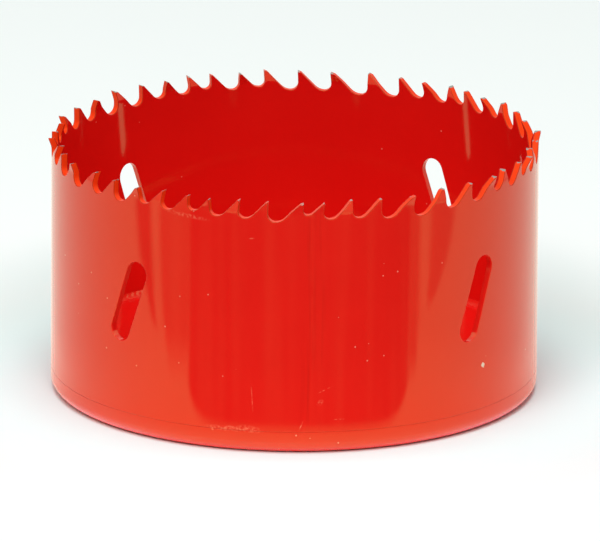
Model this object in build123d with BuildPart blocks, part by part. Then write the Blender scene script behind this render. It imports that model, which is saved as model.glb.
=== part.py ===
"""Bi-metal hole saw: a toothed steel strip rolled into a ring and closed by a butt weld,
standing on a thick backing plate that carries the arbor thread and the drive-pin holes.

Millimetres. The origin is the centre of the backing plate's outer face, the cup opens along +Z,
and an azimuth is measured anticlockwise from +X as seen from above."""

import os
from math import cos, degrees, pi, radians, sin, tan

from build123d import *

os.makedirs("parts", exist_ok=True)

# ---- Driving dimensions ----

# Overall
cut_diameter = 88.9  # hole that the saw cuts, over its outward-set teeth (3 1/2 in)
overall_height = 46.5  # outer face of the plate to the tooth tips

# Toothed strip
strip_thickness = 1.2
side_set = 0.65  # how far a set tooth leans out of the strip at its tip
set_cycle = (1, -1, 0)  # lean of successive teeth: outward, inward, straight
bend_clearance = 0.2  # height of the set's bend above the shallowest gullet's floor

# Tooth pitches from tip to tip, anticlockwise from the seam
pitch_cycle = (5.3, 5.35, 6.35, 6.95, 6.2, 6.2, 4.85, 5.45, 4.3)
cycle_count = 5  # whole cycles round the ring
end_pitches = 3  # pitches of one more cycle, up to the strip's end
seam_pitch = 3.7  # short pitch across the butt weld
seam_azimuth = -85.5  # middle of that short pitch

# Tooth form
rake_angle = 2.0  # forward hook of the cutting face
back_angle = 45.0  # slope of the tooth's back
relief_angle = 22.0  # slope of the land behind the tip
gullet_base_depth = 0.45  # part of a gullet's depth that doesn't grow with its pitch
gullet_depth_share = 0.5  # gullet depth for each millimetre of pitch, added to that
front_radius_share = 0.22  # radius at the foot of the cutting face, likewise
back_radius_share = 0.38  # radius at the foot of the tooth's back, likewise

# Slots for levering out the slug
slot_length = 16.0  # overall, along the slant
slot_width = 4.5
slot_slant = 20.0  # away from upright, the top leaning anticlockwise
slot_rise = 17.8  # slot centres above the plate's inner face
slot_azimuths = (-41.9, 51.6, 132.5, 227.5)

# Backing plate
plate_thickness = 7.0
spigot_height = 2.8  # locating step that the strip is slipped over
edge_radius = 2.1  # rounded lower edge
joint_bevel = 0.2  # fine groove all round the outside of the joint
locating_clearance = 0.05  # inside the strip, on the radius

# Arbor thread and drive-pin holes
thread_diameter = 15.875  # 5/8 in - 18, at the thread's root
thread_bevel = 0.6
pin_diameter = 6.35  # drive pin of the arbor
pin_clearance = 0.25  # on the diameter
pin_circle = 30.2
pin_count = 2
pin_bevel = 0.4

# Weld in the inside corner
weld_leg = 0.9
weld_hollow = 0.12  # how far the weld's face dips below a straight chamfer

# ---- Derived sizes ----

wall_radius = cut_diameter / 2 - side_set
bore_radius = wall_radius - strip_thickness
spigot_radius = bore_radius - locating_clearance
rim_height = plate_thickness - spigot_height
slot_height = plate_thickness + slot_rise
cutter_reach = 2 * (strip_thickness + side_set)  # clears the strip on both sides

# The listed pitches are stretched alike, by a hair, so that they close the ring exactly.
pitches = list(pitch_cycle) * cycle_count + list(pitch_cycle[:end_pitches])
stretch = (2 * pi * wall_radius - seam_pitch) / sum(pitches)
pitches = [pitch * stretch for pitch in pitches] + [seam_pitch]


def arc_angle(arc):
    """Degrees round the ring for a distance along the strip."""
    return degrees(arc / wall_radius)


def gullet_depth(pitch):
    return gullet_base_depth + gullet_depth_share * pitch


def gullet_floor(pitch):
    """Distance from a tip to the lowest point of the gullet in front of it."""
    front_radius = front_radius_share * pitch
    centre_height = front_radius - gullet_depth(pitch)
    rake = radians(rake_angle)
    return (front_radius + centre_height * sin(rake)) / cos(rake)


def upright_plane(azimuth):
    """Plane through the axis of the ring: x runs outward and y up."""
    a = radians(azimuth)
    return Plane(origin=(0, 0, 0), x_dir=(cos(a), sin(a), 0), z_dir=(sin(a), -cos(a), 0))


def tangent_plane(azimuth, height):
    """Plane against the ring's outside: x runs anticlockwise, y up and z outward."""
    a = radians(azimuth)
    foot = (wall_radius * cos(a), wall_radius * sin(a), height)
    return Plane(origin=foot, x_dir=(-sin(a), cos(a), 0), z_dir=(cos(a), sin(a), 0))


# Tip i stands at tip_azimuths[i], and pitch i runs from it to the next tip.
tip_azimuths = [seam_azimuth + arc_angle(seam_pitch) / 2]
for pitch in pitches[:-1]:
    tip_azimuths.append(tip_azimuths[-1] + arc_angle(pitch))

# ---- Gullet cutters, each from the tip on its left to the tip on its right ----

rake = radians(rake_angle)
back = radians(back_angle)
relief = radians(relief_angle)
gullets = []
for tip_azimuth, pitch in zip(tip_azimuths, pitches):
    right = (wall_radius + side_set) * sin(radians(arc_angle(pitch)) / 2)
    left = -right
    floor = left + gullet_floor(pitch)
    depth = gullet_depth(pitch)
    front_radius = front_radius_share * pitch
    back_radius = back_radius_share * pitch
    face_foot = (floor - front_radius * cos(rake), front_radius * (1 + sin(rake)) - depth)
    back_foot = (floor + back_radius * sin(back), back_radius * (1 - cos(back)) - depth)
    # The heel is where the back, rising from its foot, meets the land behind the next tip.
    back_at_tip = back_foot[1] + (right - back_foot[0]) * tan(back)
    land = back_at_tip / (tan(back) - tan(relief))
    heel = (right - land, -land * tan(relief))
    middle = tip_azimuth + arc_angle(pitch) / 2
    with BuildPart() as gullet:
        with BuildSketch(tangent_plane(middle, overall_height)):
            with BuildLine():
                Line((left, 0), face_foot)
                RadiusArc(face_foot, (floor, -depth), -front_radius)
                RadiusArc((floor, -depth), back_foot, -back_radius)
                Polyline(back_foot, heel, (right, 0), (right, depth), (left, depth), (left, 0))
            make_face()
        extrude(amount=cutter_reach, both=True)
    gullets.append(gullet.part)

# ---- Strip sectors: one for each tooth, from gullet floor to gullet floor, with its own lean ----

bend_height = overall_height - gullet_depth(min(pitches)) + bend_clearance
sectors = []
for i, tip_azimuth in enumerate(tip_azimuths):
    lean = side_set * set_cycle[i % len(set_cycle)]
    start = tip_azimuth - arc_angle(pitches[i - 1] - gullet_floor(pitches[i - 1]))
    finish = tip_azimuth + arc_angle(gullet_floor(pitches[i]))
    with BuildPart() as sector:
        with BuildSketch(upright_plane(start)):
            with BuildLine():
                Polyline(
                    (bore_radius, rim_height),
                    (wall_radius - joint_bevel, rim_height),
                    (wall_radius, rim_height + joint_bevel),
                    (wall_radius, bend_height),
                    (wall_radius + lean, overall_height),
                    (bore_radius + lean, overall_height),
                    (bore_radius, bend_height),
                    close=True,
                )
            make_face()
        revolve(axis=Axis.Z, revolution_arc=finish - start)
        add(gullets[i - 1], mode=Mode.SUBTRACT)
        add(gullets[i], mode=Mode.SUBTRACT)
    sectors.append(sector.part)

# ---- Toothed shell: the strip as one piece, with its slanted slots ----

slot_planes = [tangent_plane(azimuth, slot_height) for azimuth in slot_azimuths]
with BuildPart() as toothed_shell:
    add(sectors)
    with BuildSketch(*slot_planes):
        SlotOverall(slot_length, slot_width, rotation=90 - slot_slant)
    extrude(amount=cutter_reach, both=True, mode=Mode.SUBTRACT)
toothed_shell.part.label = "toothed_shell"
export_step(toothed_shell.part, "parts/toothed_shell.step")

# ---- Backing plate ----

pin_radius = (pin_diameter + pin_clearance) / 2
with BuildPart() as backing_plate:
    with BuildSketch():
        Circle(wall_radius)
    extrude(amount=rim_height)
    rim_edges = backing_plate.edges().filter_by(GeomType.CIRCLE).sort_by(Axis.Z)
    fillet(rim_edges[0], radius=edge_radius)
    chamfer(rim_edges[-1], length=joint_bevel)
    with BuildSketch(Plane.XY.offset(rim_height)):
        Circle(spigot_radius)
    extrude(amount=spigot_height)
    with Locations((0, 0, plate_thickness)):
        Hole(thread_diameter / 2)
    chamfer(backing_plate.edges(Select.LAST).filter_by(GeomType.CIRCLE), length=thread_bevel)
    with Locations(Plane.XY.offset(plate_thickness)):
        with PolarLocations(pin_circle / 2, pin_count):
            Hole(pin_radius)
    chamfer(backing_plate.edges(Select.LAST).filter_by(GeomType.CIRCLE), length=pin_bevel)
backing_plate.part.label = "backing_plate"
export_step(backing_plate.part, "parts/backing_plate.step")

# ---- Corner weld ----

with BuildPart() as corner_weld:
    with BuildSketch(Plane.XZ):
        with BuildLine():
            corner = (spigot_radius, plate_thickness)
            toe = (spigot_radius - weld_leg, plate_thickness)
            top = (spigot_radius, plate_thickness + weld_leg)
            Polyline(top, corner, toe)
            SagittaArc(toe, top, weld_hollow)
        make_face()
    revolve(axis=Axis.Z)
corner_weld.part.label = "corner_weld"
export_step(corner_weld.part, "parts/corner_weld.step")
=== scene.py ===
import bisect
import math

import bpy
from mathutils import Matrix, Vector, geometry, kdtree, noise


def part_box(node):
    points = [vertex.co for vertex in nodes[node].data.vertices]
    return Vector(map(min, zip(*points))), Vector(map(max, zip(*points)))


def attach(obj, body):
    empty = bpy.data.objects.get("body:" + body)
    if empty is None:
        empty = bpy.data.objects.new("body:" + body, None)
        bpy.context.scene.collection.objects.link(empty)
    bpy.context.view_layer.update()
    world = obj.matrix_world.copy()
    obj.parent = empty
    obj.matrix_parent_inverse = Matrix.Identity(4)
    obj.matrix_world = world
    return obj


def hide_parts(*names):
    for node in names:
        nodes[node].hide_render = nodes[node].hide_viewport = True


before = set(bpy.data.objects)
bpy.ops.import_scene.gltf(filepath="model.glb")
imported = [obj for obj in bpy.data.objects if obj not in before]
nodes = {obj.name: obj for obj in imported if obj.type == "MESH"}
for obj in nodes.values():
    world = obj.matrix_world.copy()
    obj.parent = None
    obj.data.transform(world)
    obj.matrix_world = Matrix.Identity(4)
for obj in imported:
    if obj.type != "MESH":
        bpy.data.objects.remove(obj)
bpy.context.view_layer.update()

mm = 0.001
sharpAngle = 40.0  # degrees

plateLow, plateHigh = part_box("backing_plate")
shellLow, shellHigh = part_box("toothed_shell")
weldLow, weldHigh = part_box("corner_weld")
wall = plateHigh.x / mm  # outside of the strip and of the plate, in mm
tip = shellHigh.z / mm
foot = shellLow.z / mm  # where the strip stands on the plate
plateTop = weldLow.z / mm  # inner face of the plate
weldRadius = weldHigh.x / mm  # where the weld meets the strip


def hexColor(text):
    # sRGB hex to the linear values that Blender works in
    channels = [int(text[i : i + 2], 16) / 255 for i in (1, 3, 5)]
    linear = [c / 12.92 if c <= 0.04045 else ((c + 0.055) / 1.055) ** 2.4 for c in channels]
    return (*linear, 1.0)


def wallPoint(azimuth, height=0.0):
    # a point on the outside of the wall, in m
    return Vector((math.cos(azimuth) * wall, math.sin(azimuth) * wall, height)) * mm


def scaleOf(size):
    # texture scale for a pattern of this size in mm
    return 1 / (size * mm)


def addNode(tree, kind, inputs=None, **settings):
    # a value sets an input, and a socket is linked to it
    node = tree.nodes.new("ShaderNode" + kind)
    for name, value in settings.items():
        setattr(node, name, value)
    for name, value in (inputs or {}).items():
        if isinstance(value, bpy.types.NodeSocket):
            tree.links.new(value, node.inputs[name])
        else:
            node.inputs[name].default_value = value
    return node.outputs


def falloff(tree, away, full, none):
    # 1 at full and 0 at none, in mm, with a smooth way between them
    return addNode(tree, "MapRange", {
        "Value": away,
        "From Min": none * mm,
        "From Max": full * mm,
    }, interpolation_type="SMOOTHSTEP")[0]


def newMaterial(name):
    material = bpy.data.materials.new(name)
    material.use_nodes = True
    material.node_tree.nodes.clear()
    return material, material.node_tree


def newPiece(name, points, faces, normals, material):
    # a smooth mesh in mm, with the given normals or else with its steep edges left sharp
    mesh = bpy.data.meshes.new(name)
    mesh.from_pydata([[c * mm for c in point] for point in points], [], faces)
    mesh.polygons.foreach_set("use_smooth", [True] * len(mesh.polygons))
    if normals:
        mesh.normals_split_custom_set_from_vertices(normals)
    else:
        mesh.set_sharp_from_angle(angle=math.radians(sharpAngle))
    mesh.materials.append(material)
    piece = bpy.data.objects.new(name, mesh)
    bpy.context.scene.collection.objects.link(piece)
    return piece


print("Lacquer")
# Baked red lacquer, sprayed over steel: a deep colour under a clear, slightly amber gloss, with
# a faint orange peel and a few dust nibs baked in.
lacquer = {
    "deepRed": "#DD1411",
    "lightRed": "#E61B15",
    "cutFaceLitRed": "#F03A0E",  # thin over the bright steel of a milled edge, and lighter as painted top light on these upward faces
    "edgeShadeBrown": "#8E1507",  # painted shade along the rounded edge of each cut, darker brown where the lacquer also draws thin and the dark scale shows through
    "edgeShadeStrength": 0.7,
    "edgeShadeBand": (0.3, 0.6, 0.97),  # share of the way round an edge: start, full and end of it
    "amberSheen": "#FFFFA8",  # the gloss is amber when seen square on and white along a limb
    "nibPink": "#F0A08C",
    "roughness": 0.06,
    "cutFaceRoughness": 0.4,
    "gloss": 0.5,
    "cutFaceGloss": 0.22,
    "ior": 1.5,
    "cloudSize": 14.0,  # mm, slow drift of the colour
    "peelSize": 1.1,  # mm, about as coarse as real orange peel
    "peelDepth": 0.0006,  # mm
    "nibSpacing": 2.6,  # mm
    "nibSize": 0.15,  # mm, drawn a little coarser than real dust so that it shows
    "nibShare": 0.22,
    "nibStrength": 0.6,
}


def lacquerLayers(tree):
    # the colour and the bump that every lacquered piece shares
    place = addNode(tree, "TexCoord")["Object"]
    cloud = addNode(tree, "TexNoise", {
        "Vector": place,
        "Scale": scaleOf(lacquer["cloudSize"]),
        "Detail": 2.0,
    })[0]
    red = addNode(tree, "MixRGB", {
        "Fac": cloud,
        "Color1": hexColor(lacquer["deepRed"]),
        "Color2": hexColor(lacquer["lightRed"]),
    })[0]
    nibs = addNode(tree, "TexVoronoi", {"Vector": place, "Scale": scaleOf(lacquer["nibSpacing"])})
    nibReach = lacquer["nibSize"] / lacquer["nibSpacing"]
    near = addNode(tree, "Math", {0: nibs["Distance"], 1: nibReach}, operation="LESS_THAN")[0]
    draw = addNode(tree, "SeparateColor", {"Color": nibs["Color"]})[0]
    chosen = addNode(tree, "Math", {0: draw, 1: lacquer["nibShare"]}, operation="LESS_THAN")[0]
    nib = addNode(tree, "Math", {0: near, 1: chosen}, operation="MULTIPLY")[0]
    tint = addNode(tree, "Math", {0: nib, 1: lacquer["nibStrength"]}, operation="MULTIPLY")[0]
    red = addNode(tree, "MixRGB", {"Fac": tint, "Color1": red, "Color2": hexColor(lacquer["nibPink"])})[0]
    peel = addNode(tree, "TexNoise", {
        "Vector": place,
        "Scale": scaleOf(lacquer["peelSize"]),
        "Detail": 1.0,
    })[0]
    bump = addNode(tree, "Bump", {"Height": peel, "Distance": lacquer["peelDepth"] * mm, "Strength": 1.0})[0]
    return place, red, bump


def lacquerSurface(tree, red, bump, roughness=lacquer["roughness"], gloss=lacquer["gloss"]):
    return addNode(tree, "BsdfPrincipled", {
        "Base Color": red,
        "Roughness": roughness,
        "Specular IOR Level": gloss,
        "IOR": lacquer["ior"],
        "Specular Tint": hexColor(lacquer["amberSheen"]),
        "Normal": bump,
    })[0]


# Scratches and rubbed places, where the lacquer has gone pale.
scuffs = {
    "color": "#FF9070",
    "ragSize": 0.45,  # mm
    "ragBand": (0.4, 0.62),  # noise values from which a mark is bare and full
    "depth": 3.0,  # mm, so that a mark stays on its own side of the cup
    "core": 0.3,  # share of a mark that is at full strength
    # azimuth in degrees, height, half length and half width in mm, tilt in degrees, and strength
    "marks": [
        (-104.6, 4.3, 5.9, 0.62, 0, 0.4),
        (-100.2, 4.4, 2.7, 0.75, -8, 0.42),
        (-109.1, 4.0, 0.5, 0.3, 70, 1.0),
        (-99.7, 10.1, 2.9, 0.11, 94, 0.5),
        (-88.2, 5.3, 1.1, 0.13, 67, 0.6),
        (-82.6, 11.9, 1.7, 0.12, 26, 0.5),
        (-83.8, 9.5, 0.8, 0.55, 40, 0.4),
        (-79.2, 6.3, 1.3, 0.12, 0, 0.5),
        (-100.0, 39.75, 0.6, 0.16, 5, 0.6),
        (-116.0, 42.9, 5.2, 0.5, -5, 0.3),
    ],
}


def scuffed(tree, place, red):
    # the colour with every mark drawn over it, each as a ragged ellipse on the wall
    pale = 0.0
    for azimuth, height, halfLength, halfWidth, tilt, strength in scuffs["marks"]:
        turn = math.radians(azimuth)
        local = addNode(tree, "Mapping", {
            "Vector": place,
            "Location": wallPoint(turn, height),
            "Rotation": (0, -math.radians(tilt), turn + math.pi / 2),
            "Scale": (halfLength * mm, scuffs["depth"] * mm, halfWidth * mm),
        }, vector_type="TEXTURE")[0]
        mark = addNode(tree, "MapRange", {
            "Value": addNode(tree, "VectorMath", {0: local}, operation="LENGTH")["Value"],
            "From Min": 1.0,
            "From Max": scuffs["core"],
            "To Max": strength,
        })[0]
        pale = addNode(tree, "Math", {0: pale, 1: mark}, operation="MAXIMUM")[0]
    rag = addNode(tree, "TexNoise", {
        "Vector": place,
        "Scale": scaleOf(scuffs["ragSize"]),
        "Detail": 3.0,
    })[0]
    bare, full = scuffs["ragBand"]
    ragged = addNode(tree, "MapRange", {"Value": rag, "From Min": bare, "From Max": full})[0]
    pale = addNode(tree, "Math", {0: pale, 1: ragged}, operation="MULTIPLY")[0]
    return addNode(tree, "MixRGB", {"Fac": pale, "Color1": red, "Color2": hexColor(scuffs["color"])})[0]


# Hardened high-speed steel, ground: it is bare where the tips have lost their lacquer.
tipSteel = {
    "color": "#A9A59E",
    "roughness": 0.32,
    "bareDepth": 0.11,  # mm below the highest point
    "rag": 0.22,  # mm up and down from there
    "ragSize": 0.7,
    "ragBand": (0.3, 0.7),
}

# The butt weld of the strip, ground nearly flush, with grinding lines under the lacquer.
seamAzimuth = math.radians(-85.5)
seam = {
    "width": 1.0,  # mm
    "ridge": 0.03,
    "grid": 0.35,
    "crowding": 0.6,  # share of the grid that its points keep clear of an edge
    "reach": 3.0,
    "core": 0.9,  # mm from its middle that the lines are at full strength
    "ragScale": (0.6, 0.35),  # per mm, across and up
    "ragSeed": 3.1,
    "ragMix": (0.7, 0.9),  # even and uneven share of the ridge
    "lineWidth": 0.8,
    "lineLength": 22.0,
    "lineBand": (0.48, 0.7),  # noise values at which a line begins and is full
    "lineStrength": 0.2,
    "lineRed": "#A00D06",
}

# One small chip, down to the pale primer.
chip = {
    "azimuth": -39.4,  # degrees
    "height": 12.0,  # mm
    "size": 0.42,
    "ragSize": 0.5,
    "color": "#E9CDBB",
}

stripPaint, tree = newMaterial("bakedRedLacquerOnBimetalStrip")
place, red, bump = lacquerLayers(tree)
red = scuffed(tree, place, red)
cutFace = addNode(tree, "Attribute", attribute_name="cutFace")["Fac"]
# Painted shade: the rounded edge of each cut is drawn darker brown.
edgeStart, edgeFull, edgeEnd = lacquer["edgeShadeBand"]
edgeShade = addNode(tree, "MapRange", {
    "Value": cutFace,
    "From Min": edgeStart,
    "From Max": edgeFull,
    "To Max": lacquer["edgeShadeStrength"],
})[0]
offFace = addNode(tree, "Math", {0: cutFace, 1: edgeEnd}, operation="LESS_THAN")[0]
edgeShade = addNode(tree, "Math", {0: edgeShade, 1: offFace}, operation="MULTIPLY")[0]

lineScales = (scaleOf(seam["lineWidth"]), 0, scaleOf(seam["lineLength"]))
stretched = addNode(tree, "VectorMath", {0: place, 1: lineScales}, operation="MULTIPLY")[0]
lineStart, lineFull = seam["lineBand"]
lines = addNode(tree, "MapRange", {
    "Value": addNode(tree, "TexNoise", {"Vector": stretched, "Scale": 1.0, "Detail": 2.0})[0],
    "From Min": lineStart,
    "From Max": lineFull,
    "To Max": seam["lineStrength"],
})[0]
level = addNode(tree, "VectorMath", {0: place, 1: (1, 1, 0)}, operation="MULTIPLY")[0]
seamAway = addNode(tree, "VectorMath", {0: level, 1: wallPoint(seamAzimuth)}, operation="DISTANCE")["Value"]
bySeam = addNode(tree, "MapRange", {
    "Value": seamAway,
    "From Min": seam["reach"] * mm,
    "From Max": seam["core"] * mm,
})[0]
lines = addNode(tree, "Math", {0: lines, 1: bySeam}, operation="MULTIPLY")[0]

ragged = addNode(tree, "TexNoise", {"Vector": place, "Scale": scaleOf(chip["ragSize"]), "Detail": 2.0})[0]
chipReach = addNode(tree, "MapRange", {"Value": ragged, "To Max": 2 * chip["size"] * mm})[0]
chipPlace = wallPoint(math.radians(chip["azimuth"]), chip["height"])
chipAway = addNode(tree, "VectorMath", {0: place, 1: chipPlace}, operation="DISTANCE")["Value"]
chipped = addNode(tree, "Math", {0: chipAway, 1: chipReach}, operation="LESS_THAN")[0]

# Painted light and shade: the cut faces drawn lighter orange as if lit from above, and their rounded edges
# darker brown.
for share, color in (
    (cutFace, lacquer["cutFaceLitRed"]),
    (edgeShade, lacquer["edgeShadeBrown"]),
    (lines, seam["lineRed"]),
    (chipped, chip["color"]),
):
    red = addNode(tree, "MixRGB", {"Fac": share, "Color1": red, "Color2": hexColor(color)})[0]
onFace = [
    addNode(tree, "MapRange", {"Value": cutFace, "To Min": lacquer[wallKey], "To Max": lacquer[cutKey]})[0]
    for wallKey, cutKey in (("roughness", "cutFaceRoughness"), ("gloss", "cutFaceGloss"))
]
paint = lacquerSurface(tree, red, bump, *onFace)
steel = addNode(tree, "BsdfPrincipled", {
    "Base Color": hexColor(tipSteel["color"]),
    "Metallic": 1.0,
    "Roughness": tipSteel["roughness"],
    "Normal": bump,
})[0]
height = addNode(tree, "SeparateXYZ", {"Vector": place})["Z"]
rag = addNode(tree, "TexNoise", {"Vector": place, "Scale": scaleOf(tipSteel["ragSize"]), "Detail": 2.0})[0]
ragLow, ragHigh = tipSteel["ragBand"]
bareFrom = addNode(tree, "MapRange", {
    "Value": rag,
    "From Min": ragLow,
    "From Max": ragHigh,
    "To Min": (tip - tipSteel["bareDepth"] - tipSteel["rag"]) * mm,
    "To Max": (tip - tipSteel["bareDepth"] + tipSteel["rag"]) * mm,
})[0]
bare = addNode(tree, "Math", {0: height, 1: bareFrom}, operation="GREATER_THAN")[0]
addNode(tree, "OutputMaterial", {"Surface": addNode(tree, "MixShader", {0: bare, 1: paint, 2: steel})[0]})

# The plate was faced on a lathe, and its rings show faintly through the lacquer.
turning = {"spacing": 0.5, "depth": 0.0016}  # mm, the real marks are about half as far apart
platePaint, tree = newMaterial("bakedRedLacquerOnTurnedPlate")
place, red, bump = lacquerLayers(tree)
red = scuffed(tree, place, red)
level = addNode(tree, "VectorMath", {0: place, 1: (1, 1, 0)}, operation="MULTIPLY")[0]
fromAxis = addNode(tree, "VectorMath", {0: level}, operation="LENGTH")["Value"]
rings = addNode(tree, "TexNoise", {
    "W": fromAxis,
    "Scale": scaleOf(turning["spacing"]),
    "Detail": 1.0,
}, noise_dimensions="1D")[0]
bump = addNode(tree, "Bump", {
    "Height": rings,
    "Distance": turning["depth"] * mm,
    "Strength": 1.0,
    "Normal": bump,
})[0]
addNode(tree, "OutputMaterial", {"Surface": lacquerSurface(tree, red, bump)})

weldPaint, tree = newMaterial("bakedRedLacquerOnWeldBead")
place, red, bump = lacquerLayers(tree)
addNode(tree, "OutputMaterial", {"Surface": lacquerSurface(tree, red, bump)})

print("Toothed shell")
# The strip is drawn flat, as (distance round the wall, height) in mm, meshed there and rolled up.
# Its sizes are those of the solid that it stands for.
strip = {
    "pitchCycle": (5.3, 5.35, 6.35, 6.95, 6.2, 6.2, 4.85, 5.45, 4.3),  # mm, before it is fitted round
    "cycles": 5,
    "endPitches": 3,  # taken from the start of the cycle
    "seamPitch": 3.7,
    "thickness": 1.2,
    "sideSet": 0.65,
    "setCycle": (1, -1, 0),  # out, in and straight
    "rake": 2.0,  # degrees
    "back": 45.0,
    "relief": 22.0,
    "gulletBase": 0.45,  # mm, to which gulletShare of the pitch is added
    "gulletShare": 0.5,
    "frontShare": 0.22,  # radii in the gullet, as shares of the pitch
    "backShare": 0.38,
    "bendClearance": 0.2,
    "bendSoftness": 0.35,  # share of a tooth's height over which its lean begins
    "edgeRadius": 0.13,  # lacquer draws back from a cut edge and leaves it a little round
    "footRadius": 0.1,
    "footSink": 0.16,  # lacquer fills most of the groove over the joint
    "tipRounding": 0.045,
    "tipCurve": (0.0, 0.35, 0.65, 1.0),  # where the points of that curve lie
    "roundingSteps": 3,
    "arcStep": 11.0,  # degrees
    "lineStep": 0.42,
    "cornerGap": 2.2,  # edge radii that points keep clear of a sharp corner
    "toothGrid": 0.5,
    "toothMargin": 0.8,  # mm below the gullets where that grid begins
    "wallGrid": 1.5,
    "crowding": 0.62,  # share of a grid that its points keep clear of an edge
}
slots = {
    "length": 16.0,
    "width": 4.5,
    "slant": 20.0,
    "height": 24.8,
    "azimuths": (-41.9, 51.6, 132.5, 227.5),
    "arcSteps": 14,
    "sideSteps": 10,
}
forming = {"depth": 0.012, "length": 21.0, "climb": 0.2}  # mm, slow waves left by the rolling
nudge = 0.02  # mm, step over which slopes are measured
same = 1e-6  # mm, points that lie closer than this are one

around = 2 * math.pi * wall
pitches = strip["pitchCycle"] * strip["cycles"] + strip["pitchCycle"][: strip["endPitches"]]
stretch = (around - strip["seamPitch"]) / sum(pitches)
pitches = [pitch * stretch for pitch in pitches] + [strip["seamPitch"]]
rake, backSlope, relief = (math.radians(strip[key]) for key in ("rake", "back", "relief"))


def gulletDepth(pitch):
    return strip["gulletBase"] + strip["gulletShare"] * pitch


def gulletFloor(pitch):
    radius = strip["frontShare"] * pitch
    return (radius + (radius - gulletDepth(pitch)) * math.sin(rake)) / math.cos(rake)


def pointsBetween(start, end, step, keepOff=0.0):
    # evenly spaced, and none nearer to an end than keepOff
    length = math.dist(start, end)
    count = max(1, round(length / step))
    shares = [i / count for i in range(1, count) if keepOff <= i / count * length <= length - keepOff]
    return [tuple(a + (b - a) * t for a, b in zip(start, end)) for t in shares]


def arcPoints(centre, radius, start, end):
    count = max(2, round(abs(end - start) / math.radians(strip["arcStep"])))
    turns = [start + (end - start) * i / count for i in range(count + 1)]
    return [(centre[0] + radius * math.cos(t), centre[1] + radius * math.sin(t)) for t in turns]


def insetPoint(before, point, after, distance):
    # point moved into the steel, which lies to the right of the line from before to after
    (ax, ay), (bx, by) = (
        ((b[1] - a[1]) / math.dist(a, b), (a[0] - b[0]) / math.dist(a, b))
        for a, b in ((before, point), (point, after))
    )
    scale = distance / (1 + ax * bx + ay * by)
    return (point[0] + (ax + bx) * scale, point[1] + (ay + by) * scale)


# Tips stand at tipPlaces, and the flat strip is cut open at the floor of the seam's gullet.
seamPlace = seamAzimuth * wall
tipPlaces = [seamPlace + strip["seamPitch"] / 2]
for pitch in pitches[:-1]:
    tipPlaces.append(tipPlaces[-1] + pitch)
stripStart = tipPlaces[0] - pitches[-1] + gulletFloor(pitches[-1])
floorPlaces = [stripStart] + [start + gulletFloor(pitch) for start, pitch in zip(tipPlaces, pitches)]

toothLine, toothInset = [], []  # the toothed edge, and the same line an edge radius inside it
rounding, radius = strip["tipRounding"], strip["edgeRadius"]
cornerGap = strip["cornerGap"] * radius
backRise, reliefRise = math.tan(backSlope), math.tan(relief)
landWay = (math.cos(relief), math.sin(relief))
faceWay = (-math.sin(rake), -math.cos(rake))
for start, pitch in zip([tipPlaces[0] - pitches[-1]] + tipPlaces, [pitches[-1]] + pitches):
    depth, floorAt = gulletDepth(pitch), gulletFloor(pitch)
    frontRadius, backRadius = strip["frontShare"] * pitch, strip["backShare"] * pitch
    front = arcPoints((floorAt, frontRadius - depth), frontRadius, math.pi - rake, 1.5 * math.pi)
    rear = arcPoints((floorAt, backRadius - depth), backRadius, -0.5 * math.pi, backSlope - 0.5 * math.pi)
    land = (rear[-1][1] + (pitch - rear[-1][0]) * backRise) / (backRise - reliefRise)
    heel = (pitch - land, -land * reliefRise)
    line = pointsBetween((0, 0), front[0], strip["lineStep"], cornerGap) + front + rear[1:]
    line += pointsBetween(rear[-1], heel, strip["lineStep"]) + [heel]
    line += pointsBetween(heel, (pitch, 0), strip["lineStep"], cornerGap)
    ends = [(0, 0)] + line + [(pitch, 0)]
    inset = [insetPoint(*ends[i : i + 3], radius) for i in range(len(line))]
    # the next tip, worn round: a short curve from the land on to the cutting face
    before = (pitch - rounding * landWay[0], -rounding * landWay[1])
    after = (pitch + rounding * faceWay[0], rounding * faceWay[1])
    onLand, onFace = (pitch - landWay[0], -landWay[1]), (pitch + faceWay[0], faceWay[1])
    below = insetPoint(onLand, (pitch, 0), onFace, radius)
    for t in strip["tipCurve"]:
        line.append(tuple(
            (1 - t) ** 2 * a + 2 * t * (1 - t) * c + t * t * b
            for a, c, b in zip(before, (pitch, 0), after)
        ))
        inset.append(below)
    toothLine += [(start + x, tip + y) for x, y in line]
    toothInset += [(start + x, tip + y) for x, y in inset]
floorHeight = tip - gulletDepth(pitches[-1])
first, last = (
    min(range(len(toothLine)), key=lambda i: math.dist(toothLine[i], (cut, floorHeight)))
    for cut in (stripStart, stripStart + around)
)
toothLine, toothInset = toothLine[first : last + 1], toothInset[first : last + 1]

bend = tip - gulletDepth(min(pitches)) + strip["bendClearance"]


def wallRadiusAt(along, height):
    # outside radius of the strip: its lean above the bend, the seam's ridge and the forming's waves
    lean = 0.0
    if height > bend:
        tooth = max(0, bisect.bisect_right(floorPlaces, along) - 1) % len(pitches)
        side = strip["setCycle"][tooth % len(strip["setCycle"])]
        share, soft = (height - bend) / (tip - bend), strip["bendSoftness"]
        risen = share * share / (2 * soft) if share < soft else share - soft / 2
        lean = strip["sideSet"] * side * risen / (1 - soft / 2)
    off = math.remainder(along - seamPlace, around)
    ridge = 0.0
    if abs(off) < seam["reach"]:
        acrossScale, upScale = seam["ragScale"]
        ragged = noise.noise(Vector((off * acrossScale, height * upScale, seam["ragSeed"])))
        even, uneven = seam["ragMix"]
        ridge = seam["ridge"] * math.exp(-((off / seam["width"]) ** 2)) * (even + uneven * ragged)
    azimuth = along / wall
    onWave = Vector((math.cos(azimuth) * wall, math.sin(azimuth) * wall, height * forming["climb"]))
    return wall + lean + ridge + forming["depth"] * noise.noise(onWave / forming["length"])


points, normals, cutShare, faces = [], [], [], []


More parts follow.
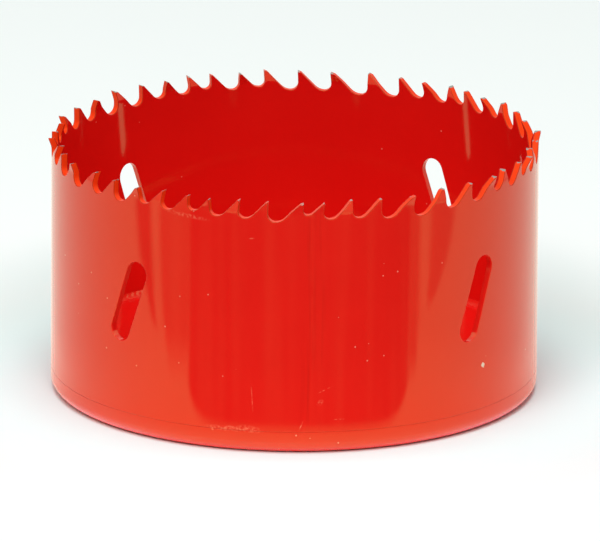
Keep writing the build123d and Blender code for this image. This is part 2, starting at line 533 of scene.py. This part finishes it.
def addPoint(along, height, depth, outward, cutWay=(0, 0), thin=True):
    # outward is 1 on the outside, 0 on a cut face and -1 on the bore. cutWay faces out of the cut,
    # and thin says that the lacquer is thin there.
    azimuth = along / wall
    radial = Vector((math.cos(azimuth), math.sin(azimuth), 0))
    ahead = Vector((-math.sin(azimuth), math.cos(azimuth), 0))
    here = wallRadiusAt(along, height)
    slopeAlong = (wallRadiusAt(along + nudge, height) - here) / nudge
    slopeUp = (here - wallRadiusAt(along, height - nudge)) / nudge
    face = (radial - slopeAlong * ahead - slopeUp * Vector((0, 0, 1))).normalized()
    cutting = cutWay[0] * ahead + Vector((0, 0, cutWay[1]))
    share = math.sqrt(max(0.0, 1 - outward * outward))
    points.append(tuple(radial * (here - depth) + Vector((0, 0, height))))
    normals.append((face * outward + cutting * share).normalized())
    cutShare.append(share if thin else 0.0)
    return len(points) - 1


# Flat outline of the walls, an edge radius inside the real edges, and points spread over them.
columns = round(around / strip["wallGrid"])
footEdge = foot - strip["footSink"]
footInset = [(stripStart + around * i / columns, footEdge + strip["footRadius"]) for i in range(columns + 1)]
footLine = [(x, footEdge) for x, y in footInset]
leftSide = pointsBetween(footInset[0], toothInset[0], strip["wallGrid"])
flat, insetIndex = [], []
for x, y in toothInset:
    if not flat or math.dist((x, y), flat[-1]) > same:
        flat.append((x, y))
    insetIndex.append(len(flat) - 1)
footFirst = len(flat)
flat += footInset
leftFirst = len(flat)
flat += leftSide
rightFirst = len(flat)
flat += [(x + around, y) for x, y in leftSide]
leftWall = [footFirst, *range(leftFirst, rightFirst), 0]
rightWall = [footFirst + columns, *range(rightFirst, len(flat)), footFirst - 1]
edges = [(i, i + 1) for i in range(leftFirst - 1) if i != footFirst - 1]
edges += list(zip(leftWall, leftWall[1:])) + list(zip(rightWall, rightWall[1:]))

tilt = math.radians(slots["slant"])
lengthWay, widthWay = (math.sin(tilt), math.cos(tilt)), (math.cos(tilt), -math.sin(tilt))
slotReach = (slots["length"] - slots["width"]) / 2
slotCentres = [(math.radians(azimuth) * wall, slots["height"]) for azimuth in slots["azimuths"]]
slotHalf = slots["width"] / 2
slotEdges = []
for centre in slotCentres:
    outline, ways = [], []
    for end in (1, -1):
        stops = []  # how far along the slot each point's centre lies, and which way the point lies from it
        for i in range(slots["arcSteps"] + 1):
            t = math.pi * i / slots["arcSteps"]
            way = [end * (math.cos(t) * w + math.sin(t) * l) for w, l in zip(widthWay, lengthWay)]
            stops.append((slotReach, way))
        for i in range(1, slots["sideSteps"]):
            stops.append((slotReach * (1 - 2 * i / slots["sideSteps"]), [-end * w for w in widthWay]))
        for slide, way in stops:
            outline.append([c + end * slide * l + w * slotHalf for c, l, w in zip(centre, lengthWay, way)])
            ways.append(way)
    inset = [(x + radius * wx, y + radius * wy) for (x, y), (wx, wy) in zip(outline, ways)]
    ids = range(len(flat), len(flat) + len(inset))
    flat += inset
    edges += list(zip(ids, [*ids[1:], ids[0]]))
    slotEdges.append((outline, [(-wx, -wy) for wx, wy in ways], inset, ids))


def slotDistance(x, y):
    # from the middle line of the nearest slot
    distances = []
    for cx, cy in slotCentres:
        slide = (x - cx) * lengthWay[0] + (y - cy) * lengthWay[1]
        slide = max(-slotReach, min(slotReach, slide))
        distances.append(math.dist((x, y), (cx + slide * lengthWay[0], cy + slide * lengthWay[1])))
    return min(distances)


edgeTree = kdtree.KDTree(len(flat))
for i, (x, y) in enumerate(flat):
    edgeTree.insert((x, y, 0), i)
edgeTree.balance()
toothZone = tip - gulletDepth(max(pitches)) - strip["toothMargin"]
spread = []
for low, high, step in ((foot, toothZone, strip["wallGrid"]), (toothZone, tip, strip["toothGrid"])):
    across, rows = round(around / step), round((high - low) / step)
    for row in range(rows):
        y = low + (high - low) * (row + 0.5) / rows
        for column in range(1, across):
            x = stripStart + around * (column + 0.5 * (row % 2)) / across
            spread.append((x, y, strip["crowding"] * step))
seamEnds = (
    (stripStart, seamPlace + seam["reach"]),
    (seamPlace + around - seam["reach"], stripStart + around),
)
for low, high in seamEnds:
    for column in range(1, int((high - low) / seam["grid"])):
        for row in range(1, int((toothZone - foot) / strip["wallGrid"]) * 2):
            x, y = low + seam["grid"] * column, foot + strip["wallGrid"] * row / 2
            spread.append((x, y, seam["crowding"] * seam["grid"]))
for x, y, keepOff in spread:
    if edgeTree.find((x, y, 0))[2] > keepOff and slotDistance(x, y) > slotHalf + radius:
        flat.append((x, y))

# The triangles inside a slot have all three corners on its loop, and are left out.
made = geometry.delaunay_2d_cdt([Vector(p) for p in flat], edges, [], 1, 10 * same)
flatPoints, triangles, origins = made[0], made[2], made[3]
newIndex = {source: i for i, sources in enumerate(origins) for source in sources}
wrapped = {newIndex[right]: newIndex[left] for right, left in zip(rightWall, leftWall)}
slotLoops = [{newIndex[i] for i in ids} for outline, ways, inset, ids in slotEdges]
outer, bore = {}, {}
for triangle in triangles:
    if any(loop.issuperset(triangle) for loop in slotLoops):
        continue
    triangle = [wrapped.get(i, i) for i in triangle]
    for i in triangle:
        if i not in outer:
            x, y = flatPoints[i]
            outer[i], bore[i] = addPoint(x, y, 0.0, 1), addPoint(x, y, strip["thickness"], -1)
    faces.append([outer[i] for i in triangle])
    faces.append([bore[i] for i in reversed(triangle)])


def addEdge(outline, ways, inset, ids, size, closed=False, flip=False):
    # rings of points that round one cut edge over, from the outside to the bore
    turns = [math.pi / 2 * (i + 1) / strip["roundingSteps"] for i in range(strip["roundingSteps"])]
    ids = [wrapped.get(newIndex[i], newIndex[i]) for i in ids]
    count = len(outline) if closed else len(outline) - 1
    rings = [[outer[i] for i in ids[:count]]]
    for side, order in ((1, turns), (-1, turns[::-1])):
        for turn in order:
            blend, sunk = 1 - math.sin(turn), size * (1 - math.cos(turn))
            depth = sunk if side > 0 else strip["thickness"] - sunk
            ring = []
            for (x, y), (qx, qy), way in zip(outline[:count], inset, ways):
                x, y = x + (qx - x) * blend, y + (qy - y) * blend
                ring.append(addPoint(x, y, depth, side * math.cos(turn), way, not closed))
            rings.append(ring)
    rings.append([bore[i] for i in ids[:count]])
    for upper, lower in zip(rings, rings[1:]):
        for i in range(count):
            j = (i + 1) % count
            face = [upper[i], upper[j], lower[j], lower[i]]
            face = [v for n, v in enumerate(face) if v != face[n - 1]]
            if len(face) > 2:
                faces.append(face[::-1] if flip else face)


beforeFirst = (toothLine[-2][0] - around, toothLine[-2][1])
afterLast = (toothLine[1][0] + around, toothLine[1][1])
padded = [beforeFirst, *toothLine, afterLast]
toothWays = []
for i, (x, y) in enumerate(toothLine):
    qx, qy = insetPoint(*padded[i : i + 3], 1.0)
    away = math.dist((x, y), (qx, qy))
    toothWays.append(((x - qx) / away, (y - qy) / away))
addEdge(toothLine, toothWays, toothInset, insetIndex, radius)
footWays, footIds = [(0, -1)] * len(footLine), range(footFirst, leftFirst)
addEdge(footLine, footWays, footInset, footIds, strip["footRadius"], flip=True)
for outline, ways, inset, ids in slotEdges:
    addEdge(outline, ways, inset, ids, radius, closed=True)

shell = newPiece("lacqueredToothedStrip", points, faces, normals, stripPaint)
shell.data.attributes.new("cutFace", "FLOAT", "POINT").data.foreach_set("value", cutShare)
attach(shell, "root")
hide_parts("toothed_shell")
print("  faces:", len(faces))

print("Plate, thread and weld")
nodes["backing_plate"].data.materials.clear()
nodes["backing_plate"].data.materials.append(platePaint)


def sweptPiece(name, sections, material, closed):
    # a skin over a row of like sections, each a ring of points in mm
    size = len(sections[0])
    faces = []
    for i in range(len(sections) - (0 if closed else 1)):
        here, there = i * size, (i + 1) % len(sections) * size
        faces += [(here + j, there + j, there + (j + 1) % size, here + (j + 1) % size) for j in range(size)]
    if not closed:
        faces += [range(size), range(len(sections) * size - 1, (len(sections) - 1) * size - 1, -1)]
    piece = newPiece(name, [point for section in sections for point in section], faces, None, material)
    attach(piece, "root")
    return piece


# Arc-welded bead in the corner of plate and strip: a hollow face with the ripples of a slow torch.
bead = {
    "leg": 0.9,  # mm
    "wander": 0.05,  # of the leg, to and fro
    "wanders": 9,  # scale of that round the ring
    "hollow": 0.12,
    "sink": 0.03,
    "ripple": 0.02,
    "spacing": 1.25,
    "trail": 0.45,  # share of the spacing by which a ripple's ends lag its middle
    "steps": 8,
    "faceSteps": 6,
}
rippleCount = round(2 * math.pi * weldRadius / bead["spacing"])
sections = []
for i in range(rippleCount * bead["steps"]):
    azimuth = 2 * math.pi * i / (rippleCount * bead["steps"])
    radial = Vector((math.cos(azimuth), math.sin(azimuth), 0))
    leg = bead["leg"] + bead["wander"] * noise.noise(radial * bead["wanders"])
    corner = (weldRadius + bead["sink"], plateTop - bead["sink"])
    section = [corner]
    for j in range(bead["faceSteps"] + 1):
        t = j / bead["faceSteps"]
        scale = abs(math.sin(math.pi * (i / bead["steps"] + bead["trail"] * (2 * t - 1) ** 2)))
        bulge = (bead["ripple"] * scale - bead["hollow"]) * 4 * t * (1 - t)
        across, rise = weldRadius - leg * (1 - t), plateTop + leg * t
        section.append((across - bulge * math.sqrt(0.5), rise + bulge * math.sqrt(0.5)))
    section[1] = (section[1][0], plateTop - bead["sink"])
    section[-1] = (weldRadius + bead["sink"], section[-1][1])
    sections.append([tuple(radial * r + Vector((0, 0, z))) for r, z in section])
weldBead = sweptPiece("cornerWeldBead", sections, weldPaint, True)
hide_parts("corner_weld")

# Thread of the arbor hole, cut before the lacquer: 5/8 in, 18 to the inch.
thread = {
    "major": 7.9375,  # radius in mm
    "pitch": 25.4 / 18,
    "crest": 0.25,  # share of the pitch
    "root": 0.125,
    "sink": 0.02,
    "clear": 0.75,  # mm left plain at each face
    "stepsPerTurn": 72,
    "runOut": 0.3,  # turns over which the first and last thread grow
    "start": 0.02,  # turns that they have grown by at the very end
}
ridgeHeight = (1 - thread["crest"] - thread["root"]) / 2 * thread["pitch"] * math.sqrt(3)
turns = (plateTop - 2 * thread["clear"] - thread["pitch"]) / thread["pitch"]
sections = []
for i in range(round(turns * thread["stepsPerTurn"]) + 1):
    turn = i / thread["stepsPerTurn"]
    azimuth = 2 * math.pi * turn
    toEnd = min(turn, turns - turn)
    grown = min(1.0, (toEnd + thread["start"]) / thread["runOut"])
    middle = thread["clear"] + thread["pitch"] * (turn + 0.5)
    halfCrest = thread["crest"] * thread["pitch"] / 2
    halfBase = halfCrest + ridgeHeight * grown / math.sqrt(3)
    inner = thread["major"] - ridgeHeight * grown
    outer = thread["major"] + thread["sink"]
    offsets = ((outer, -halfBase), (inner, -halfCrest), (inner, halfCrest), (outer, halfBase))
    sections.append([(math.cos(azimuth) * r, math.sin(azimuth) * r, middle + z) for r, z in offsets])
sweptPiece("arborThread", sections, platePaint, False)

print("Camera")
view = {
    "elevation": 16.34,  # degrees above the floor
    "roll": 0.36,
    "distance": 3.325,  # m
    "lens": 1108.0,  # mm
    "sensor": 36.0,
    "clip": (0.1, 100.0),  # m
    "axisHeight": 0.01975,  # m, point of the axis that the aim is measured from
    "aimRight": 0.00102,
    "aimUp": 0.00143,
}
rise, roll = math.radians(view["elevation"]), math.radians(view["roll"])
back = Vector((0, -math.cos(rise), math.sin(rise)))
plumb = Vector((0, math.sin(rise), math.cos(rise)))
right = math.cos(roll) * Vector((1, 0, 0)) + math.sin(roll) * plumb
up = back.cross(right)
aim = Vector((0, 0, view["axisHeight"])) + view["aimRight"] * right + view["aimUp"] * up
cameraPlace = aim + back * view["distance"]
cameraData = bpy.data.cameras.new("camera")
cameraData.lens = view["lens"]
cameraData.sensor_width = view["sensor"]
cameraData.clip_start, cameraData.clip_end = view["clip"]
camera = bpy.data.objects.new("camera", cameraData)
bpy.context.scene.collection.objects.link(camera)
camera.matrix_world = Matrix.Translation(cameraPlace) @ Matrix((right, up, back)).transposed().to_4x4()
bpy.context.scene.camera = camera

print("Stage")
# White paper, with painted light: rays that leave the saw find it brighter than the camera does, most of all
# before the saw, as if the table were lit through from below.
floorLook = {
    "size": 12.0,  # m
    "drop": 0.02,  # mm under the saw's flat underside
    "color": "#FAFFFD",
    "paintedShadowColor": "#E6F2EF",  # painted shadow: darker where the saw's soft shadow lies
    "beside": (0.0, 0.035, 0.0),  # m
    "besideReach": (50.0, 82.0),  # mm from there, at full strength and at none
    # painted light: the paper before the saw stays light over the painted shadow
    "paintedFrontColor": "#F4F9F9",
    "before": (0.0, -0.04, 0.0),
    "beforeReach": (58.0, 100.0),
    "around": (0.93, 1.08, 1.08),  # painted: cooler round the saw, to take out the red light that the saw throws on the paper
    "aroundReach": (50.0, 76.0),  # mm from the axis
    "colorInGloss": "#FFFDEE",
    "glossGain": (1.14, 1.32),  # behind the saw and before it
    "bounceGain": (0.85, 1.22),
    "behind": (0.0, 0.1, 0.0),  # painted light: a patch that throws more light on the back of the saw
    "behindReach": (40.0, 78.0),
    "behindGain": 2.6,
    "glow": 1.3,  # painted reflection: a glowing ring close by the foot, before the saw, for gloss rays only
    "glowColor": "#C4D4FF",
    "glowIn": (43.8, 42.4),  # mm from the axis
    "glowOut": (45.5, 56.0),
    "glowReach": (28.0, 58.0),  # mm from the point before the saw
}
half = floorLook["size"] / 2
floorPlace = -floorLook["drop"] * mm
corners = ((-half, -half), (half, -half), (half, half), (-half, half))
floorMesh = bpy.data.meshes.new("floor")
floorMesh.from_pydata([(x, y, floorPlace) for x, y in corners], [], [(0, 1, 2, 3)])
floor = bpy.data.objects.new("floor", floorMesh)
bpy.context.scene.collection.objects.link(floor)
paper, tree = newMaterial("palePaperWithPaintedLight")
place = addNode(tree, "TexCoord")["Object"]
ray = addNode(tree, "LightPath")
fromAxis = addNode(tree, "VectorMath", {0: place}, operation="LENGTH")["Value"]
fromBeside, fromBefore, fromBehind = (
    addNode(tree, "VectorMath", {0: place, 1: floorLook[point]}, operation="DISTANCE")["Value"]
    for point in ("beside", "before", "behind")
)
beside = falloff(tree, fromBeside, *floorLook["besideReach"])
before = falloff(tree, fromBefore, *floorLook["beforeReach"])
nearby = falloff(tree, fromAxis, *floorLook["aroundReach"])

# Painted shadow and light on the paper as the camera sees it.
seen = hexColor(floorLook["color"])
for share, color in ((beside, "paintedShadowColor"), (before, "paintedFrontColor")):
    seen = addNode(tree, "MixRGB", {"Fac": share, "Color1": seen, "Color2": hexColor(floorLook[color])})[0]
seen = addNode(tree, "MixRGB", {
    "Fac": nearby,
    "Color1": seen,
    "Color2": (*floorLook["around"], 1),
}, blend_type="MULTIPLY")[0]
# Painted light: for bounce and gloss rays the paper is brighter than it looks to the camera.
unseen = []
for color, gains in (("color", "bounceGain"), ("colorInGloss", "glossGain")):
    farGain, nearGain = floorLook[gains]
    gain = addNode(tree, "MapRange", {"Value": before, "To Min": farGain, "To Max": nearGain})[0]
    linear = hexColor(floorLook[color])[:3]
    unseen.append(addNode(tree, "VectorMath", {0: linear, "Scale": gain}, operation="SCALE")[0])
behind = falloff(tree, fromBehind, *floorLook["behindReach"])
behindGain = addNode(tree, "MapRange", {"Value": behind, "To Min": 1.0, "To Max": floorLook["behindGain"]})[0]
unseen[0] = addNode(tree, "VectorMath", {0: unseen[0], "Scale": behindGain}, operation="SCALE")[0]
unseen = addNode(tree, "MixRGB", {"Fac": ray["Is Glossy Ray"], "Color1": unseen[0], "Color2": unseen[1]})[0]
white = addNode(tree, "MixRGB", {"Fac": ray["Is Camera Ray"], "Color1": unseen, "Color2": seen})[0]

# Painted light: the paper glows in a ring by the foot, seen only in gloss.
glow = addNode(tree, "Math", {0: ray["Is Glossy Ray"], 1: floorLook["glow"]}, operation="MULTIPLY")[0]
for away, reach in ((fromAxis, "glowIn"), (fromAxis, "glowOut"), (fromBefore, "glowReach")):
    share = falloff(tree, away, *floorLook[reach])
    glow = addNode(tree, "Math", {0: glow, 1: share}, operation="MULTIPLY")[0]
light = addNode(tree, "Emission", {"Color": hexColor(floorLook["glowColor"]), "Strength": glow})[0]
matte = addNode(tree, "BsdfDiffuse", {"Color": white})[0]
addNode(tree, "OutputMaterial", {"Surface": addNode(tree, "AddShader", {0: matte, 1: light})[0]})
floorMesh.materials.append(paper)

# Painted reflection: a grey card lies on the paper before the saw, and only the gloss sees it. It is laid out
# through the mirror of the wall as seen from the camera, so each dark patch of reflection is given by its
# place on the wall: across is the sine of the angle from the middle of the view, and z is in mm.
card = {
    "color": "#4C4C4C",
    "lift": 0.2,  # mm above the paper
    "edge": 0.7,  # its reach to each side, as a sine
    "low": 3.6,  # mm, lowest place that it shows in
    "columns": 180,
    "rows": 60,
    "soft": 0.022,  # width of the patches' side edges, as a sine
    "corner": 7.0,  # mm, rise of their lower corners
    "squareness": 14,
}
patches = [
    # left and right at the top, left and right at the bottom, z there, its softness in mm, darkness
    ((-0.43, 0.475), (-0.43, 0.46), 4.6, 2.5, 1.0),
    ((-0.55, -0.40), (-0.52, -0.40), 16.0, 9.0, 0.7),
    ((0.46, 0.51), (0.46, 0.50), 14.0, 6.0, 0.7),
    ((-0.645, -0.585), (-0.57, -0.555), 21.0, 3.0, 0.9),
    ((0.555, 0.655), (0.535, 0.565), 26.0, 3.0, 0.66),
]
streaks = {"width": 0.035, "length": 60.0, "seed": 0.7, "bias": 0.2, "share": 0.16}


def ramp(value, width):
    return max(0.0, min(1.0, 0.5 + value / width))


def darkness(across, z):
    # of the card where it mirrors this place on the wall
    dark = 0.0
    for (topLeft, topRight), (lowLeft, lowRight), bottom, softUp, depth in patches:
        t = ((tip - z) / (tip - bottom)) ** 2
        left, right = topLeft + (lowLeft - topLeft) * t, topRight + (lowRight - topRight) * t
        middle, half = (left + right) / 2, (right - left) / 2
        roundedBottom = bottom + card["corner"] * min(1.0, abs(across - middle) / half) ** card["squareness"]
        inside = ramp(half - abs(across - middle), card["soft"]) * ramp(z - roundedBottom, softUp)
        dark = max(dark, depth * inside)
    streak = noise.noise(Vector((across / streaks["width"], z / streaks["length"], streaks["seed"])))
    return dark * (1 - streaks["share"] * max(0.0, streak + streaks["bias"]))


cardPoints, cardShades = [], []
for row in range(card["rows"] + 1):
    z = card["low"] + (tip - card["low"]) * row / card["rows"]
    for column in range(card["columns"] + 1):
        across = card["edge"] * (2 * column / card["columns"] - 1)
        outwards = Vector((across, -math.sqrt(1 - across * across), 0))
        onWall = outwards * wall * mm + Vector((0, 0, z * mm))
        bounce = (onWall - cameraPlace).reflect(outwards)
        cardPoints.append(onWall + bounce * ((card["lift"] * mm - onWall.z) / bounce.z))
        cardShades.append(darkness(across, z))
wide = card["columns"] + 1
starts = [row * wide + column for row in range(card["rows"]) for column in range(card["columns"])]
cardFaces = [(i, i + 1, i + 1 + wide, i + wide) for i in starts]
cardMesh = bpy.data.meshes.new("greyCard")
cardMesh.from_pydata(cardPoints, [], cardFaces)
cardMesh.attributes.new("shade", "FLOAT", "POINT").data.foreach_set("value", cardShades)
greyCard = bpy.data.objects.new("greyCard", cardMesh)
bpy.context.scene.collection.objects.link(greyCard)
board, tree = newMaterial("paintedReflectionCard")
shade = addNode(tree, "Attribute", attribute_name="shade")["Fac"]
matte = addNode(tree, "BsdfDiffuse", {"Color": hexColor(card["color"])})[0]
clear = addNode(tree, "BsdfTransparent")[0]
addNode(tree, "OutputMaterial", {"Surface": addNode(tree, "MixShader", {0: shade, 1: clear, 2: matte})[0]})
cardMesh.materials.append(board)
greyCard.visible_camera = greyCard.visible_diffuse = False
greyCard.visible_shadow = greyCard.visible_transmission = False

# The tent is white to rays that see it and gives only a little light.
tentLook = {"color": "#F4FAF8", "strength": 0.27}
world = bpy.data.worlds.new("softTent")
world.use_nodes = True
tree = world.node_tree
tree.nodes.clear()
ray = addNode(tree, "LightPath")
seen = ray["Is Camera Ray"]
for kind in ("Is Glossy Ray", "Is Transmission Ray"):
    seen = addNode(tree, "Math", {0: seen, 1: ray[kind]}, operation="MAXIMUM")[0]
strength = addNode(tree, "MapRange", {"Value": seen, "To Min": tentLook["strength"], "To Max": 1.0})[0]
tent = addNode(tree, "Background", {"Color": hexColor(tentLook["color"]), "Strength": strength})[0]
addNode(tree, "OutputWorld", {"Surface": tent})
bpy.context.scene.world = world

lampAim = Vector((0, 0, 0.02))  # m
softboxes = {
    # name: (place in m, size in m, watts)
    "frontSoftbox": ((-0.15, -0.9, 1.1), 0.9, 9.8),
    "leftSoftbox": ((-1.0, 0.1, 0.9), 0.7, 1.2),
    "rightSoftbox": ((1.0, 0.1, 0.9), 0.7, 1.0),
    "topSoftbox": ((0.0, -0.15, 1.5), 0.8, 10.0),
}
for name, (place, size, watts) in softboxes.items():
    lamp = bpy.data.lights.new(name, "AREA")
    lamp.size = size
    lamp.energy = watts
    box = bpy.data.objects.new(name, lamp)
    box.visible_glossy = name != "topSoftbox"  # its mirror image would veil the plate from above
    bpy.context.scene.collection.objects.link(box)
    box.location = place
    box.rotation_euler = (lampAim - Vector(place)).to_track_quat("-Z", "Y").to_euler()

bpy.context.scene.view_settings.view_transform = "Standard"
